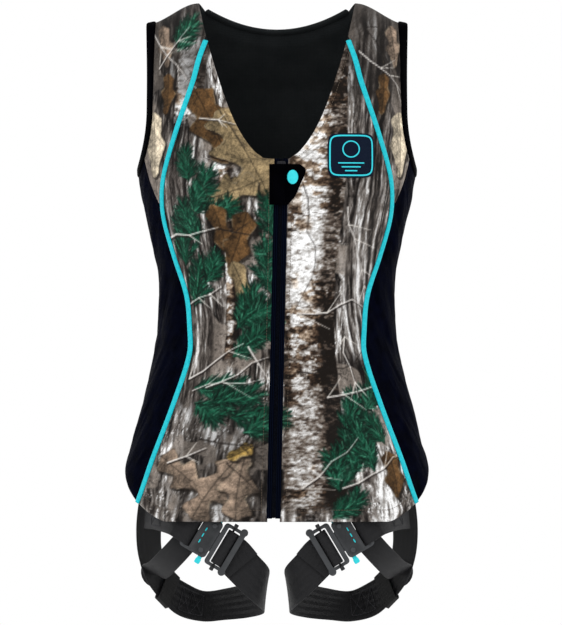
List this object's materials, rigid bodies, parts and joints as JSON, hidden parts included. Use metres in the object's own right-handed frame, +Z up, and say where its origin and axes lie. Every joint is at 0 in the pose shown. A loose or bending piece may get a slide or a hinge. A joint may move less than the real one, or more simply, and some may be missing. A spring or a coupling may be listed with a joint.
{
  "type": "safety harness vest",
  "caption": "Zipped sleeveless vest with a webbing fall-arrest harness sewn inside, quick-connect leg loops and a dorsal tether loop",
  "frame": {"origin": "middle of the wearer's shoulder line, where the vest hangs on the shoulders", "axes": "+Z up the wearer's spine, -Y out of the chest, +X to the wearer's left"},
  "size_m": [0.364, 0.2322, 0.7439],
  "materials": {
    "camo_fabric": "woodland-printed brushed knit, matt",
    "stretch_fabric": "smooth stretch knit, soft sheen",
    "binding": "fine woven edge binding, matt",
    "piping": "corded woven piping",
    "mesh_lining": "open mesh knit",
    "webbing": "woven polyester webbing",
    "elastic": "ribbed elastic",
    "zip_tape": "herringbone tape",
    "zip_coil": "moulded coil",
    "zip_metal": "black lacquer",
    "hardware": "dark grey coated steel, satin",
    "release_lever": "moulded, satin",
    "snap_cap": "moulded, satin",
    "embroidery": "satin-stitched patch",
    "buckle_plastic": "moulded, fine grain"
  },
  "bodies": {
    "vest": {"front_shell_right": "camo_fabric", "front_shell_left": "camo_fabric", "shoulder_yoke_right": "camo_fabric", "shoulder_yoke_left": "camo_fabric", "side_panel_right": "stretch_fabric", "side_panel_left": "stretch_fabric", "front_piping_right": "piping", "front_piping_left": "piping", "back_piping_right": "piping", "back_piping_left": "piping", "armhole_binding_right": "binding", "armhole_binding_left": "binding", "front_lining_right": "mesh_lining", "front_lining_left": "mesh_lining", "zip_tape_right": "zip_tape", "zip_tape_left": "zip_tape", "zip_coil_right": "zip_coil", "zip_coil_left": "zip_coil", "shoulder_strap_right": "webbing", "shoulder_strap_left": "webbing", "chest_strap_right": "webbing", "chest_strap_left": "webbing", "thigh_loop_strap_right": "webbing", "thigh_loop_strap_left": "webbing", "hip_cross_strap_right": "webbing", "hip_cross_strap_left": "webbing", "diagonal_strap_right": "webbing", "diagonal_strap_left": "webbing", "thigh_keeper_right": "elastic", "thigh_keeper_left": "elastic", "buckle_body_right": "hardware", "buckle_body_left": "hardware", "buckle_cover_right": "hardware", "buckle_cover_left": "hardware", "back_shell": "camo_fabric", "back_lining": "mesh_lining", "neck_binding": "binding", "snap_stud": "zip_metal", "chest_patch": "embroidery", "dorsal_anchor_patch": "webbing", "waist_belt": "webbing", "chest_buckle_socket": "buckle_plastic"},
    "zip_slider": {"zip_slider": "zip_metal", "zip_pull": "zip_metal"},
    "guard_flap": {"guard_flap": "binding", "snap_cap": "snap_cap"},
    "tether_loop": {"dorsal_tether_loop": "webbing"},
    "chest_plug": {"chest_buckle_plug": "buckle_plastic"},
    "male_half_right": {"male_buckle_right": "hardware", "strap_end_right": "webbing"},
    "adjuster_right": {"adjuster_bar_right": "hardware"},
    "lever_upper_right": {"release_lever_upper_right": "release_lever"},
    "lever_lower_right": {"release_lever_lower_right": "release_lever"},
    "male_half_left": {"male_buckle_left": "hardware", "strap_end_left": "webbing"},
    "adjuster_left": {"adjuster_bar_left": "hardware"},
    "lever_upper_left": {"release_lever_upper_left": "release_lever"},
    "lever_lower_left": {"release_lever_lower_left": "release_lever"}
  },
  "joints": [
    {"name": "zip_travel", "type": "slide", "parent": "vest", "child": "zip_slider", "axis": [-0.022, 0, -0.9998], "range_m": [0, 0.4]},
    {"name": "guard_flap_swing", "type": "hinge", "parent": "vest", "child": "guard_flap", "pos_m": [-0.0095, -0.1092, -0.19], "axis": [0, 0, -1], "range_deg": [0, 110]},
    {"name": "tether_loop_swing", "type": "hinge", "parent": "vest", "child": "tether_loop", "pos_m": [0, 0.1101, -0.076], "axis": [1, 0, 0], "range_deg": [0, 150]},
    {"name": "chest_plug_pull", "type": "slide", "parent": "vest", "child": "chest_plug", "axis": [1, 0, 0], "range_m": [0, 0.018]},
    {"name": "buckle_release_right", "type": "slide", "parent": "vest", "child": "male_half_right", "axis": [0.8607, 0, -0.509], "range_m": [0, 0.016]},
    {"name": "adjuster_slide_right", "type": "slide", "parent": "male_half_right", "child": "adjuster_right", "axis": [0.8607, 0, -0.509], "range_m": [0, 0.0025]},
    {"name": "lever_upper_press_right", "type": "slide", "parent": "vest", "child": "lever_upper_right", "axis": [-0.509, 0, -0.8607], "range_m": [0, 0.0022], "stiffness_N_per_m": 250},
    {"name": "lever_lower_press_right", "type": "slide", "parent": "vest", "child": "lever_lower_right", "axis": [0.509, 0, 0.8607], "range_m": [0, 0.0022], "stiffness_N_per_m": 250},
    {"name": "buckle_release_left", "type": "slide", "parent": "vest", "child": "male_half_left", "axis": [-0.8607, 0, -0.509], "range_m": [0, 0.016]},
    {"name": "adjuster_slide_left", "type": "slide", "parent": "male_half_left", "child": "adjuster_left", "axis": [-0.8607, 0, -0.509], "range_m": [0, 0.0025]},
    {"name": "lever_upper_press_left", "type": "slide", "parent": "vest", "child": "lever_upper_left", "axis": [0.509, 0, -0.8607], "range_m": [0, 0.0022], "stiffness_N_per_m": 250},
    {"name": "lever_lower_press_left", "type": "slide", "parent": "vest", "child": "lever_lower_left", "axis": [-0.509, 0, 0.8607], "range_m": [0, 0.0022], "stiffness_N_per_m": 250}
  ]
}
